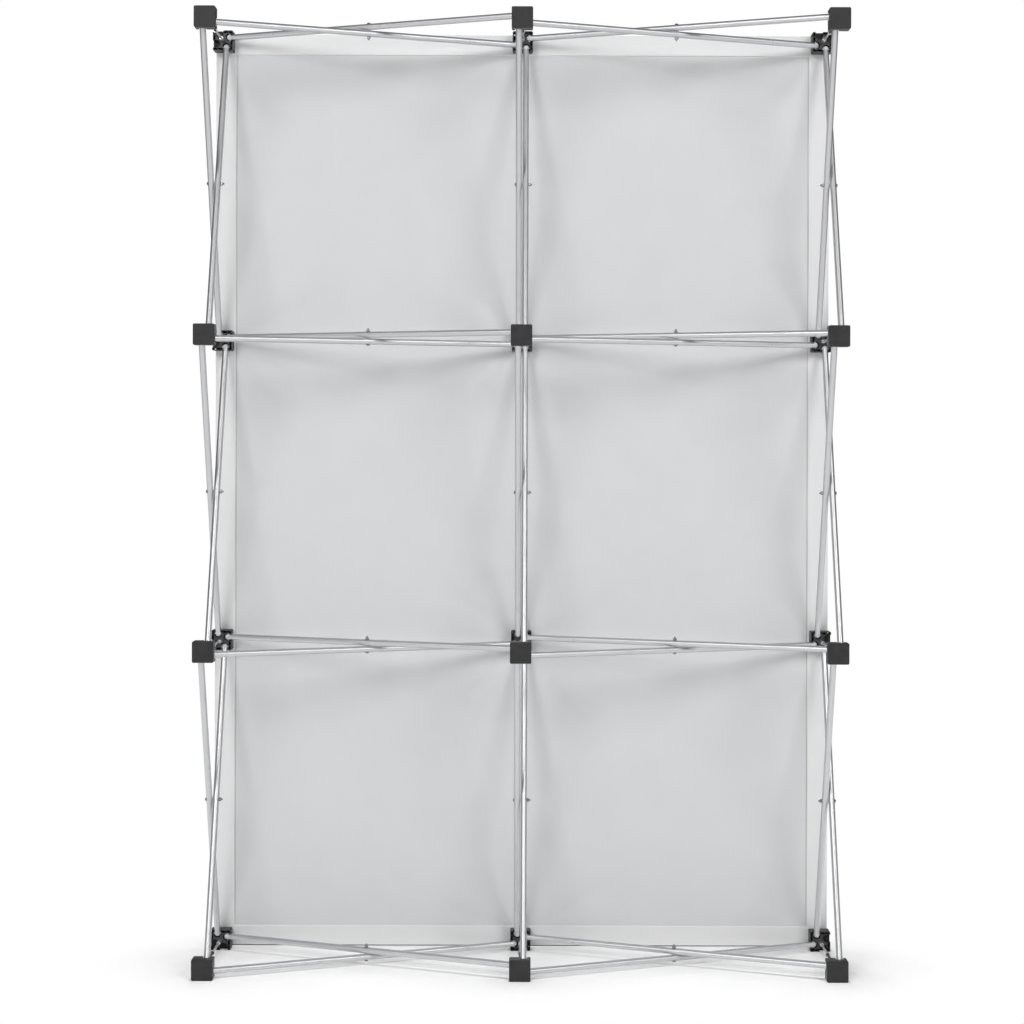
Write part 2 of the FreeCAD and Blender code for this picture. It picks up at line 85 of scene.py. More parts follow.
def column_x(column):
    """X of a column of hubs."""
    return (column - 1) * HUB_PITCH


def row_z(row):
    """Z of a row of hubs."""
    return HUB_HALF + row * HUB_PITCH


# Shared effects. Each group gives only values, masks or colours, and the shaders stay in the materials.


def effect_group(name, inputs, outputs):
    """An empty node group with its sockets; returns the tree and its two end nodes."""
    tree = bpy.data.node_groups.new(name, "ShaderNodeTree")
    for label, kind, default in inputs:
        socket = tree.interface.new_socket(label, in_out="INPUT", socket_type=kind)
        if default is not None:
            socket.default_value = default
    for label, kind in outputs:
        tree.interface.new_socket(label, in_out="OUTPUT", socket_type=kind)
    return tree, tree.nodes.new("NodeGroupInput"), tree.nodes.new("NodeGroupOutput")


def math_node(tree, operation, first, second=None, third=None):
    """A Math node on numbers or sockets."""
    node = tree.nodes.new("ShaderNodeMath")
    node.operation = operation
    for socket, value in zip(node.inputs, (first, second, third)):
        if value is None:
            continue
        if isinstance(value, (int, float)):
            socket.default_value = value
        else:
            tree.links.new(value, socket)
    return node.outputs[0]


def noise_node(tree, vector, scale, detail, roughness=0.5):
    """A Noise texture's value at a vector."""
    node = tree.nodes.new("ShaderNodeTexNoise")
    node.inputs["Scale"].default_value = scale
    node.inputs["Detail"].default_value = detail
    node.inputs["Roughness"].default_value = roughness
    tree.links.new(vector, node.inputs["Vector"])
    return node.outputs[0]


def range_node(tree, value, from_low, from_high, to_low=0.0, to_high=1.0):
    """A Map Range node with soft steps, clamped at both ends."""
    node = tree.nodes.new("ShaderNodeMapRange")
    node.interpolation_type = "SMOOTHSTEP"
    node.inputs["From Min"].default_value = from_low
    node.inputs["From Max"].default_value = from_high
    node.inputs["To Min"].default_value = to_low
    node.inputs["To Max"].default_value = to_high
    tree.links.new(value, node.inputs["Value"])
    return node.outputs["Result"]


def scaled(tree, vector, scales):
    """A vector stretched along its three axes."""
    node = tree.nodes.new("ShaderNodeVectorMath")
    node.operation = "MULTIPLY"
    node.inputs[1].default_value = scales
    tree.links.new(vector, node.inputs[0])
    return node.outputs[0]


def moulded_grain():
    """Fine spark-eroded grain of a moulding, with slow patches of sheen and a few pale specks."""
    tree, start, end = effect_group("moulded_grain", [("Vector", "NodeSocketVector", None)],
                                    [("Height", "NodeSocketFloat"), ("Patches", "NodeSocketFloat"),
                                     ("Specks", "NodeSocketFloat")])
    vector = start.outputs["Vector"]
    fine = noise_node(tree, vector, scale=2600.0, detail=1.0)
    coarse = noise_node(tree, vector, scale=900.0, detail=2.0)
    fine_share = 0.6
    tree.links.new(math_node(tree, "MULTIPLY_ADD", fine, fine_share, coarse), end.inputs["Height"])
    tree.links.new(noise_node(tree, vector, scale=60.0, detail=3.0), end.inputs["Patches"])
    dots = noise_node(tree, vector, scale=1150.0, detail=1.0)
    places = noise_node(tree, vector, scale=120.0, detail=1.0)
    specks = math_node(tree, "MULTIPLY", range_node(tree, dots, from_low=0.72, from_high=0.78),
                       range_node(tree, places, from_low=0.45, from_high=0.6))
    tree.links.new(specks, end.inputs["Specks"])
    return tree


def drawn_lines():
    """Lines that drawing leaves along a tube, from coordinates round it and along it in metres."""
    tree, start, end = effect_group("drawn_lines", [("Vector", "NodeSocketVector", None)],
                                    [("Lines", "NodeSocketFloat"), ("Handling", "NodeSocketFloat")])
    vector = start.outputs["Vector"]
    stretched = scaled(tree, vector, (2400.0, 9.0, 1.0))
    tree.links.new(noise_node(tree, stretched, scale=1.0, detail=3.0, roughness=0.6), end.inputs["Lines"])
    patchy = scaled(tree, vector, (60.0, 22.0, 1.0))
    tree.links.new(noise_node(tree, patchy, scale=1.0, detail=4.0, roughness=0.62), end.inputs["Handling"])
    return tree


def knit():
    """A fine warp knit: columns of loops, whose height is cos(x) + 0.6 cos(z + 1.6 |sin(x / 2)|), with x
    across in turns of one column and z up in turns of one loop. A slow unevenness is given beside it."""
    column_pitch, loop_pitch, loop_share, lean_share = 0.0011, 0.0008, 0.6, 1.6
    tree, start, end = effect_group("knit", [("Vector", "NodeSocketVector", None)],
                                    [("Height", "NodeSocketFloat"), ("Unevenness", "NodeSocketFloat")])
    vector = start.outputs["Vector"]
    split = tree.nodes.new("ShaderNodeSeparateXYZ")
    tree.links.new(vector, split.inputs[0])
    across, up = split.outputs[0], split.outputs[1]
    columns = math_node(tree, "COSINE", math_node(tree, "MULTIPLY", across, 2 * math.pi / column_pitch))
    half_turn = math_node(tree, "SINE", math_node(tree, "MULTIPLY", across, math.pi / column_pitch))
    lean = math_node(tree, "MULTIPLY", math_node(tree, "ABSOLUTE", half_turn), lean_share)
    rising = math_node(tree, "MULTIPLY", up, 2 * math.pi / loop_pitch)
    loops = math_node(tree, "COSINE", math_node(tree, "ADD", rising, lean))
    tree.links.new(math_node(tree, "MULTIPLY_ADD", loops, loop_share, columns), end.inputs["Height"])
    uneven = noise_node(tree, vector, scale=9.0, detail=4.0, roughness=0.6)
    tree.links.new(uneven, end.inputs["Unevenness"])
    return tree


GRAIN = moulded_grain()
LINES = drawn_lines()
KNIT = knit()


class Maker:
    """A material with one Principled shader, whose inputs are set by number or by socket."""

    def __init__(self, name, colour, roughness, metallic=0.0):
        self.material = bpy.data.materials.new(name)
        self.material.use_nodes = True
        self.tree = self.material.node_tree
        self.shader = self.tree.nodes["Principled BSDF"]
        self.shader.inputs["Base Color"].default_value = (*colour, 1.0)
        self.shader.inputs["Roughness"].default_value = roughness
        self.shader.inputs["Metallic"].default_value = metallic
        self.material.diffuse_color = (*colour, 1.0)

    def coordinates(self, own_uv=False):
        """The piece's own frame, or its UV map, both in metres."""
        node = self.tree.nodes.new("ShaderNodeTexCoord")
        return node.outputs["UV" if own_uv else "Object"]

    def effect(self, group, vector):
        """The outputs of a shared effect at a vector."""
        node = self.tree.nodes.new("ShaderNodeGroup")
        node.node_tree = group
        self.tree.links.new(vector, node.inputs["Vector"])
        return node.outputs

    def two_colours(self, mask, first, second):
        """A colour from first to second by a mask."""
        node = self.tree.nodes.new("ShaderNodeMix")
        node.data_type = "RGBA"
        node.inputs["Factor"].default_value = 0.0
        for socket, colour in ((node.inputs[6], first), (node.inputs[7], second)):
            if isinstance(colour, tuple):
                socket.default_value = (*colour, 1.0)
            else:
                self.tree.links.new(colour, socket)
        self.tree.links.new(mask, node.inputs["Factor"])
        return node.outputs[2]

    def set(self, label, socket):
        """Feeds one of the shader's inputs."""
        self.tree.links.new(socket, self.shader.inputs[label])

    def bump(self, height, strength, distance):
        """Small relief from a height, over a distance in metres."""
        node = self.tree.nodes.new("ShaderNodeBump")
        node.inputs["Strength"].default_value = strength
        node.inputs["Distance"].default_value = distance
        self.tree.links.new(height, node.inputs["Height"])
        self.tree.links.new(node.outputs[0], self.shader.inputs["Normal"])


def moulded_plastic(name, colour, roughness, specks, grain=0.25):
    """Dark glass-filled moulding: a fine grain, patches of sheen and pale specks."""
    maker = Maker(name, colour, roughness)
    maker.shader.inputs["Specular IOR Level"].default_value = 0.34
    effect = maker.effect(GRAIN, maker.coordinates())
    pale = tuple(min(1.0, 1.25 * part + 0.004) for part in colour)
    speck_colour = (0.42, 0.42, 0.42)
    patches = range_node(maker.tree, effect["Patches"], from_low=0.3, from_high=0.7)
    dust = math_node(maker.tree, "MULTIPLY", effect["Specks"], specks)
    maker.set("Base Color", maker.two_colours(dust, maker.two_colours(patches, colour, pale), speck_colour))
    maker.set("Roughness", range_node(maker.tree, effect["Patches"], from_low=0.25, from_high=0.75,
                                      to_low=roughness - 0.06, to_high=roughness + 0.08))
    maker.bump(effect["Height"], strength=grain, distance=0.00012)
    return maker.material


def drawn_aluminium():
    """Satin aluminium tube with the lines of drawing along it and faint marks of handling."""
    clean, handled = (0.655, 0.66, 0.67), (0.59, 0.595, 0.61)
    least_rough, rough_by_lines, rough_by_marks = 0.38, 0.14, 0.06
    maker = Maker("tube_aluminium_satin", clean, 0.58, metallic=1.0)
    effect = maker.effect(LINES, maker.coordinates(own_uv=True))
    marks = range_node(maker.tree, effect["Handling"], from_low=0.52, from_high=0.78)
    maker.set("Base Color", maker.two_colours(marks, clean, handled))
    worn = math_node(maker.tree, "MULTIPLY_ADD", effect["Lines"], rough_by_lines, least_rough)
    maker.set("Roughness", math_node(maker.tree, "MULTIPLY_ADD", marks, rough_by_marks, worn))
    maker.bump(effect["Lines"], strength=0.12, distance=0.00006)
    return maker.material


def plain_metal(name, colour, roughness, scale):
    """Plated steel with a slightly uneven sheen."""
    maker = Maker(name, colour, roughness, metallic=1.0)
    uneven = noise_node(maker.tree, maker.coordinates(), scale, detail=3.0)
    maker.set("Roughness", range_node(maker.tree, uneven, from_low=0.3, from_high=0.7,
                                      to_low=roughness - 0.07, to_high=roughness + 0.09))
    dull = tuple(0.82 * part for part in colour)
    spots = range_node(maker.tree, uneven, from_low=0.5, from_high=0.75)
    maker.set("Base Color", maker.two_colours(spots, colour, dull))
    return maker.material


def knitted(name, colour, roughness, loops, sheen):
    """Polyester knit: loops, slow unevenness and a soft bloom of fibres."""
    maker = Maker(name, colour, roughness)
    maker.shader.inputs["Specular IOR Level"].default_value = 0.25
    maker.shader.inputs["Sheen Weight"].default_value = sheen
    maker.shader.inputs["Sheen Roughness"].default_value = 0.5
    effect = maker.effect(KNIT, maker.coordinates(own_uv=True))
    darker = tuple(0.985 * part for part in colour)
    slow = range_node(maker.tree, effect["Unevenness"], from_low=0.35, from_high=0.65)
    maker.set("Base Color", maker.two_colours(slow, colour, darker))
    maker.set("Roughness", range_node(maker.tree, effect["Unevenness"], from_low=0.3, from_high=0.7,
                                      to_low=roughness - 0.05, to_high=roughness + 0.05))
    maker.bump(effect["Height"], strength=loops, distance=0.00008)
    return maker.material


def hooks():
    """Hook tape: a dark field of tiny stiff hooks."""
    hook_colour, ground_colour = (0.11, 0.11, 0.112), (0.025, 0.025, 0.026)
    maker = Maker("hook_tape", (0.06, 0.06, 0.062), 0.85)
    cells = maker.tree.nodes.new("ShaderNodeTexVoronoi")
    cells.inputs["Scale"].default_value = 900.0
    maker.tree.links.new(maker.coordinates(), cells.inputs["Vector"])
    between = range_node(maker.tree, cells.outputs["Distance"], from_low=0.1, from_high=0.6)
    maker.set("Base Color", maker.two_colours(between, hook_colour, ground_colour))
    maker.bump(cells.outputs["Distance"], strength=0.8, distance=0.0006)
    return maker.material


HUB_PLASTIC = moulded_plastic("hub_plastic_grained", (0.034, 0.034, 0.035), roughness=0.42, specks=0.30)
# Painted shade: a near-black colour for the faces deep in a hub's recesses, where shade falls.
HUB_PAINTED_SHADE = moulded_plastic("hub_recess_painted_shade", (0.007, 0.007, 0.0075), roughness=0.55, specks=0.10)
CAP_PLASTIC = moulded_plastic("cap_plastic_grained", (0.021, 0.021, 0.0225), roughness=0.54, specks=0.40)
PLUG_PLASTIC = moulded_plastic("plug_plastic_pale", (0.52, 0.525, 0.53), roughness=0.38, specks=0.1,
                               grain=0.12)
BLACK_ROD = moulded_plastic("lock_rod_black", (0.022, 0.022, 0.023), roughness=0.36, specks=0.15, grain=0.15)
HOOK_TAPE = hooks()
TUBE_METAL = drawn_aluminium()
LINK_METAL = plain_metal("lock_link_metal", (0.78, 0.785, 0.79), roughness=0.30, scale=260.0)
PIN_STEEL = plain_metal("pivot_pin_steel", (0.56, 0.56, 0.57), roughness=0.34, scale=420.0)
SCREW_STEEL = plain_metal("screw_steel", (0.30, 0.30, 0.31), roughness=0.30, scale=420.0)
NUT_ZINC = plain_metal("nut_zinc", (0.34, 0.34, 0.35), roughness=0.30, scale=420.0)
BUTTON_STEEL = plain_metal("button_steel", (0.42, 0.42, 0.41), roughness=0.42, scale=420.0)
NYLON = moulded_plastic("washer_nylon", (0.60, 0.60, 0.59), roughness=0.42, specks=0.1, grain=0.1)
PANEL_KNIT = knitted("panel_knit", (0.672, 0.675, 0.683), roughness=0.86, loops=0.35, sheen=0.12)
HEM_KNIT = knitted("hem_knit", (0.768, 0.770, 0.775), roughness=0.86, loops=0.35, sheen=0.12)
# Painted shadow: a grey strip on the panel just inside the side hems, where the hem's edge shades the panel.
SEAM_PAINTED_SHADOW = knitted("seam_painted_shadow", (0.46, 0.463, 0.47), roughness=0.9, loops=0.2, sheen=0.0)
# Painted shadow: a dark strip along the panel's foot, where the gap to the floor is in shade.
FOOT_PAINTED_SHADOW = knitted("foot_painted_shadow", (0.17, 0.17, 0.175), roughness=0.9, loops=0.2, sheen=0.0)
LOOP_TAPE = knitted("loop_tape", (0.66, 0.66, 0.66), roughness=0.95, loops=0.6, sheen=0.3)


# Pieces from points and faces


def new_piece(name, points, faces, materials, slots=None, uv=None, sharp=None, weld=None):
    """A mesh object at the origin from arrays: faces of four corners, a material slot for each and UV
    corners. Edges sharper than so many degrees stay sharp, and points nearer than weld become one."""
    mesh = bpy.data.meshes.new(name)
    mesh.from_pydata(points.tolist(), [], faces.tolist())
    for material in materials:
        mesh.materials.append(material)
    if slots is not None:
        mesh.polygons.foreach_set("material_index", np.asarray(slots, np.int32))
    if uv is not None:
        layer = mesh.uv_layers.new(name="UVMap")
        layer.data.foreach_set("uv", np.asarray(uv, np.float32).ravel())
    if weld:
        work = bmesh.new()
        work.from_mesh(mesh)
        bmesh.ops.remove_doubles(work, verts=work.verts, dist=weld)
        work.to_mesh(mesh)
        work.free()
    mesh.validate()
    mesh.shade_smooth()
    if sharp:
        mesh.set_sharp_from_angle(angle=math.radians(sharp))
    piece = bpy.data.objects.new(name, mesh)
    scene.collection.objects.link(piece)
    return piece


def joined(parts):
    """Several (points, faces, slots, uv) as one."""
    points, faces, slots, uv, count = [], [], [], [], 0
    for part in parts:
        points.append(part[0])
        faces.append(part[1] + count)
        slots.append(part[2])
        uv.append(part[3])
        count += len(part[0])
    return [np.concatenate(stack) for stack in (points, faces, slots, uv)]


def grid_faces(rows, columns, wrapped):
    """Faces of a grid of points, rows by columns, closed round its rows where wrapped."""
    row = np.arange(rows - 1)[:, None]
    column = np.arange(columns if wrapped else columns - 1)[None, :]
    following = (column + 1) % columns
    corners = [row * columns + column, row * columns + following,
               (row + 1) * columns + following, (row + 1) * columns + column]
    corners = [np.broadcast_to(corner, (rows - 1, column.size)) for corner in corners]
    return np.stack(corners, -1).reshape(-1, 4)


def sheet_faces(rows, columns):
    """Faces of a thin closed sheet, whose points are a grid for its back and then one for its front: the
    back's own faces, and all of them with the front's, turned round, and a rim between the two borders."""
    back = grid_faces(rows, columns, False)
    count = rows * columns
    index = np.arange(count).reshape(rows, columns)
    border = np.concatenate([index[0, :-1], index[:-1, -1], index[-1, :0:-1], index[:0:-1, 0]])
    following = np.roll(border, -1)
    rim = np.stack([following, border, border + count, following + count], -1)
    return back, np.concatenate([back, back[:, ::-1] + count, rim])


SEGMENTS = 48


def turned(profile, origin, along, side, slot=0, outline=None, dent=None):
    """A turned form: P(u, v) = origin + h(v) along + r(u, v) (cos u side + sin u across), where (r, h) runs
    along the profile and across is along x side. outline(u) is a polygon's radius, which limits r, and
    dent(u, h) takes a little off it. UV runs round and along the form in metres."""
    profile = np.asarray(profile, float)
    across = np.cross(along, side)
    turn = 2 * np.pi * np.arange(SEGMENTS) / SEGMENTS
    radius = np.repeat(profile[:, :1], SEGMENTS, 1)
    height = np.repeat(profile[:, 1:2], SEGMENTS, 1)
    if outline is not None:
        radius = np.minimum(radius, outline(turn)[None, :])
    if dent is not None:
        radius = radius - dent(turn[None, :], height)
    points = (origin + height[..., None] * along
              + radius[..., None] * (np.cos(turn)[:, None] * side + np.sin(turn)[:, None] * across))
    faces = grid_faces(len(profile), SEGMENTS, True)
    girth = 2 * np.pi * profile[:, 0].max()
    round_it = girth * np.arange(SEGMENTS + 1) / SEGMENTS
    low_v, low_u = np.meshgrid(profile[:-1, 1], round_it[:-1], indexing="ij")
    high_v, high_u = np.meshgrid(profile[1:, 1], round_it[1:], indexing="ij")
    corners = [(low_u, low_v), (high_u, low_v), (high_u, high_v), (low_u, high_v)]
    uv = np.stack([np.stack(corner, -1) for corner in corners], 2).reshape(-1, 4, 2)
    return points.reshape(-1, 3), faces, np.full(len(faces), slot, np.int32), uv


# Hubs: the moulded housings and plates of the CAD model with softened edges, and their metalwork


def solids_of(node):
    """The closed solids of a CAD node as (points, triangles). Each directed edge is a whole number that is
    mixed from its two ends, and the same edge turned round is its negative, so a running sum over the
    triangles is nothing at the end of each solid. Triangles with two corners in one place are left out."""
    per_metre = 1e6
    mixer, odd_number, shift = np.uint64(1000003), np.uint64(0x9E3779B97F4A7C15), np.uint64(29)
    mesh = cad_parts[node].data
    points = np.empty(len(mesh.vertices) * 3)
    mesh.vertices.foreach_get("co", points)
    corners = np.empty(len(mesh.loops), np.int32)
    mesh.loops.foreach_get("vertex_index", corners)
    points = points.reshape(-1, 3)
    first, index = np.unique(np.round(points * per_metre).astype(np.int64), axis=0,
                             return_index=True, return_inverse=True)[1:]
    triangles = index.reshape(-1)[corners].reshape(-1, 3)
    following = np.roll(triangles, -1, axis=1)
    whole = (triangles != following).all(axis=1)
    triangles, following = triangles[whole], following[whole]
    low = np.minimum(triangles, following).astype(np.uint64)
    high = np.maximum(triangles, following).astype(np.uint64)
    number = (low * mixer + high) * odd_number
    number ^= number >> shift
    signed = np.where(triangles < following, number, np.uint64(0) - number)
    running = np.cumsum(signed.sum(axis=1, dtype=np.uint64), dtype=np.uint64)
    solids, start = [], 0
    for end in np.flatnonzero(running == 0) + 1:
        own, new = np.unique(triangles[start:end], return_inverse=True)
        solids.append((points[first[own]], new.reshape(-1, 3)))
        start = end
    return solids


def softened(piece, width):
    """Small rounded edges, shaded so that flat faces stay flat."""
    least_angle = 42
    bevel = piece.modifiers.new("softened_edges", "BEVEL")
    bevel.width = width
    bevel.segments = 2
    bevel.limit_method = "ANGLE"
    bevel.angle_limit = math.radians(least_angle)
    bevel.use_clamp_overlap = True
    weighted = piece.modifiers.new("flat_shading", "WEIGHTED_NORMAL")
    weighted.keep_sharp = True
    return piece


def opened(points, middle):
    """The points of a hub's moulding with its tube slots a gap wider all round and its eyelets a little
    larger: a point on a slot's outline, at SLOT_RADIUS from the slot's middle line, moves straight away from
    that line, and a point on an eyelet's outline moves away from the eyelet's middle in proportion. Other
    outlines meet these in a few points at most, which stay."""
    gap, longer, wider = 0.0012, 0.28, 0.40
    nearness, few_points = 2e-5, 16
    places = points[:, [0, 2]] - middle
    shifts = np.zeros_like(places)
    for quarter in range(4):
        turn = quarter * np.pi / 2
        along = np.array([np.cos(turn), np.sin(turn)])
        for across in (np.array([-along[1], along[0]]), np.array([along[1], -along[0]])):
            u, v = places @ along, places @ across
            beyond_u, beyond_v = np.minimum(u - SLOT_START, 0.0), v - PIN_OFFSET
            away = np.hypot(beyond_u, beyond_v)
            on_slot = np.abs(away - SLOT_RADIUS) < nearness
            on_slot &= u > SLOT_START - SLOT_RADIUS - nearness / 2
            hole_u, hole_v = u - EYELET_ALONG, v - EYELET_ACROSS
            ends = np.hypot(np.maximum(np.abs(hole_u) - EYELET_HALF_RUN, 0.0), hole_v)
            on_hole = np.abs(ends - EYELET_RADIUS) < nearness
            slot_share = gap / SLOT_RADIUS
            for chosen, move_u, move_v in ((on_slot, slot_share * beyond_u, slot_share * beyond_v),
                                           (on_hole, longer * hole_u, wider * hole_v)):
                if chosen.sum() > few_points:
                    shifts += chosen[:, None] * (move_u[:, None] * along + move_v[:, None] * across)
    moved = points.copy()
    moved[:, [0, 2]] += shifts
    return moved


def solid_piece(name, solids, materials, width, inside=None):
    """One piece from CAD solids, each with its own material slot, its flat faces made whole again and its
    edges softened by a width. inside(place) says which faces of the first slot take the last one."""
    flat, sharp, no_length = math.radians(0.6), math.radians(60), 1e-6
    work = bmesh.new()
    for (points, triangles), slot in solids:
        corners = [work.verts.new(point) for point in points]
        for triangle in triangles:
            face = work.faces.new([corners[index] for index in triangle])
            face.material_index = slot
            if inside is not None and slot == 0 and inside(face.calc_center_median()):
                face.material_index = len(materials) - 1
            face.smooth = True
    bmesh.ops.dissolve_degenerate(work, dist=no_length, edges=work.edges)
    bmesh.ops.dissolve_limit(work, angle_limit=flat, verts=work.verts, edges=work.edges, delimit={"MATERIAL"})
    mesh = bpy.data.meshes.new(name)
    work.to_mesh(mesh)
    work.free()
    for material in materials:
        mesh.materials.append(material)
    mesh.set_sharp_from_angle(angle=sharp)
    piece = bpy.data.objects.new(name, mesh)
    scene.collection.objects.link(piece)
    return softened(piece, width)


def build_hub(layer, column, row):
    """A hub's housing, plate and hook pad as one piece, and its pins and lock link as another. The solids are
    told apart by their sizes: a lock link is long, a housing or plate is as wide as the hub, and the pad is
    thin and lies outside the plate."""
    link_length, housing_depth, pad_depth, pad_place = 0.1, 0.01, 0.003, 0.15
    hub_width = 1.8 * HUB_HALF
    rim_depth, side_depth = 0.0012, 0.0003
    moulding_edge, metal_edge = 0.00035, 0.0002
    node = f"{layer}_hub_{COLUMNS[column]}_{ROWS[row]}"
    middle = np.array([column_x(column), row_z(row)])
    outwards, rim = (1, FRONT_PINS - RIM_RISE) if layer == "front" else (-1, REAR_PINS + RIM_RISE)
    housing_slot, plate_slot, pad_slot = 0, 1, 2
    pin_slot, link_slot = 0, 1
    shell, metalwork = [], []
    for points, triangles in solids_of(node):
        size = np.ptp(points, axis=0)
        if size[1] > link_length:
            metalwork.append(((points, triangles), link_slot))
        elif size[0] > hub_width and size[2] > hub_width:
            slot = housing_slot if size[1] > housing_depth else plate_slot
            shell.append(((opened(points, middle), triangles), slot))
        elif size[1] < pad_depth and abs(points[:, 1].mean()) > pad_place:
            shell.append(((points, triangles), pad_slot))
        else:
            metalwork.append(((points, triangles), pin_slot))

    def inside(place):
        """Faces that take the painted shade: deeper than rim_depth below the rim, and not on the hub's sides.
        """
        reach = max(abs(place[0] - middle[0]), abs(place[2] - middle[1]))
        return (place[1] - rim) * outwards > rim_depth and reach < HUB_HALF - side_depth

    # The last slot is painted shade for the faces that inside() picks, deep in the recesses.
    plastics = [HUB_PLASTIC, CAP_PLASTIC, HOOK_TAPE, HUB_PAINTED_SHADE]
    piece = solid_piece(f"{node}_moulding", shell, plastics, moulding_edge, inside)
    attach(piece, node)
    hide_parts(node)
    metals = [PIN_STEEL, LINK_METAL if layer == "front" else BLACK_ROD]
    pins = solid_piece(f"{node}_pins_and_link", metalwork, metals, metal_edge)
    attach(pins, node)


for layer in ("rear", "front"):
    for column in range(3):
        for row in range(4):
            build_hub(layer, column, row)

# Tubes with their end plugs


def tube_profile(length):
    """Radius and height along a tube's two ends: the plug's dome round the pin, its neck, and the fine groove
    where it meets the tube; and the same turned round at the other end."""
    groove_depth, groove_half, groove_flat = 0.00025, 0.0003, 0.0001
    swing = np.linspace(-np.pi / 2, 0, 9)
    dome = np.stack([TUBE_RADIUS * np.cos(swing), TUBE_RADIUS * np.sin(swing)], 1)
    groove = [[TUBE_RADIUS, PLUG_HEAD - groove_half], [TUBE_RADIUS - groove_depth, PLUG_HEAD - groove_flat],
              [TUBE_RADIUS - groove_depth, PLUG_HEAD + groove_flat], [TUBE_RADIUS, PLUG_HEAD + groove_half]]
    end = np.concatenate([dome, groove])
    other = end[::-1] * [1, -1] + [0, length]
    return end, other


def build_tube(name, start, end, pin_axis, button=None):
    """A tube from pin to pin with its end plugs. button is how far along it a small spring button lies in a
    dimple on the open side. Returns the tube's middle and direction."""
    button_radius, dimple_depth, dimple_reach = 0.0014, 0.0005, 0.0012
    plug_slot, button_slot = 1, 2
    along = end - start
    length = np.linalg.norm(along)
    along = along / length
    low, high = tube_profile(length)
    stations = np.zeros((0, 2))
    if button is not None:
        half = np.array([0.0009, 0.0016, 0.0022, 0.003])
        steps = button + np.concatenate([-half[::-1], [0], half])
        stations = np.stack([np.full(len(steps), TUBE_RADIUS), steps], 1)
    profile = np.concatenate([low, stations, high])
    across = np.cross(along, pin_axis)
    facing = math.atan2(-across[1], -pin_axis[1])

    def dimple(turn, height):
        """Depth times exp(-(d / reach)^2), where d is the way from the button over the tube's face."""
        round_it = np.angle(np.exp(1j * (turn - facing))) * TUBE_RADIUS
        away = round_it ** 2 + (height - button) ** 2
        return dimple_depth * np.exp(-away / dimple_reach ** 2)

    dent = None if button is None else dimple
    points, faces, slots, uv = turned(profile, start, along, pin_axis, dent=dent)
    rings = np.repeat(np.arange(len(profile) - 1), SEGMENTS)
    plug_rings = len(low) - 2
    slots[(rings < plug_rings) | (rings >= len(profile) - 1 - plug_rings)] = plug_slot
    if button is not None:
        outwards = math.cos(facing) * pin_axis + math.sin(facing) * across
        spot = start + along * button + TUBE_RADIUS * outwards
        slots[np.linalg.norm(points[faces].mean(axis=1) - spot, axis=1) < button_radius] = button_slot
    piece = new_piece(f"{name}_drawn", points, faces, [TUBE_METAL, PLUG_PLASTIC, BUTTON_STEEL], slots, uv,
                      sharp=32, weld=WELD)
    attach(piece, name)
    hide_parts(name)
    return start + along * length / 2, along


def hexagon(across_flats):
    """The radius of a hexagon, r(u) = a / (2 cos(u')), where u' is u from the middle of its nearest flat."""
    return lambda turn: across_flats / 2 / np.cos((turn + np.pi / 6) % (np.pi / 3) - np.pi / 6)


def build_crossing(name, body, middle, along, pin_axis, turned_round):
    """Screw, lock nut and washer where two tubes cross: the head under the first tube, the nut on the second,
    or the other way where turned round. Each is a turned form, whose profile gives (radius, height) in metres
    from the middle line of the tube at the head."""
    out = pin_axis * (-1 if turned_round else 1)
    origin = middle + pin_axis * (2 * PIN_OFFSET if turned_round else 0)
    clearance = 0.0002
    stand = TUBE_RADIUS + clearance
    head_radius, head_height = 0.0045, 0.0028
    socket_radius, socket_rim, socket_depth, socket_lip = 0.0013, 0.0015, 0.0016, 0.00262
    shank_radius, root_radius, thread_step, screw_tip = 0.0020, 0.00178, 0.00035, 0.003
    nut_radius, nut_height, across_flats = 0.0047, 0.0038, 0.008
    collar_radius, collar_height = 0.00335, 0.0050
    washer_radius, washer_height, bore, round_off = 0.0055, 0.0006, 0.0021, 0.0001

    swing = np.linspace(0, np.pi / 2, 7)
    dome = zip(head_radius * np.sin(swing) ** 0.9, -stand - head_height * np.cos(swing))
    floor = -stand - head_height + socket_depth
    socket = [(0.0, floor), (socket_radius, floor), (socket_radius, -stand - socket_lip)]
    head = socket + [point for point in dome if point[0] > socket_rim]
    head += [(head_radius, -stand), (0.0, -stand)]

    nut_seat = 2 * PIN_OFFSET + stand
    tip = nut_seat + collar_height + screw_tip
    threads = np.arange(nut_seat + collar_height - 0.0001, tip - 0.0006, thread_step)
    thread = [(shank_radius if step % 2 else root_radius, height) for step, height in enumerate(threads)]
    shank = [(0.0, -stand - 0.0005), (shank_radius, -stand - 0.0005), (shank_radius, nut_seat + 0.0045)]
    shank += thread + [(0.0016, tip - round_off), (0.0014, tip), (0.0, tip)]

    nut = [(bore, 0.0), (0.0038, 0.0), (nut_radius, 0.0005), (nut_radius, nut_height - 0.0005),
           (0.0039, nut_height), (collar_radius, nut_height), (collar_radius, collar_height - 0.0003),
           (0.0030, collar_height), (bore, collar_height), (bore, 0.0)]
    nut = np.array(nut) + [0.0, nut_seat]
    washer = [(bore, 0.0), (0.0052, 0.0), (washer_radius, round_off),
              (washer_radius, washer_height - round_off), (0.0052, washer_height), (bore, washer_height),
              (bore, 0.0)]
    washer = np.array(washer) + [0.0, stand]

    parts = [turned(head, origin, out, along, slot=0),
             turned(shank, origin, out, along, slot=0),
             turned(nut, origin, out, along, slot=1, outline=hexagon(across_flats)),
             turned(washer, origin, out, along, slot=2)]
    points, faces, slots, uv = joined(parts)
    piece = new_piece(f"{name}_screw_and_nut", points, faces, [SCREW_STEEL, NUT_ZINC, NYLON], slots, uv,
                      sharp=32, weld=WELD)
    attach(piece, body)


# The screws of the top row and of the right column are turned round. BUTTON is how far a spring button is
# from its tube's front end.

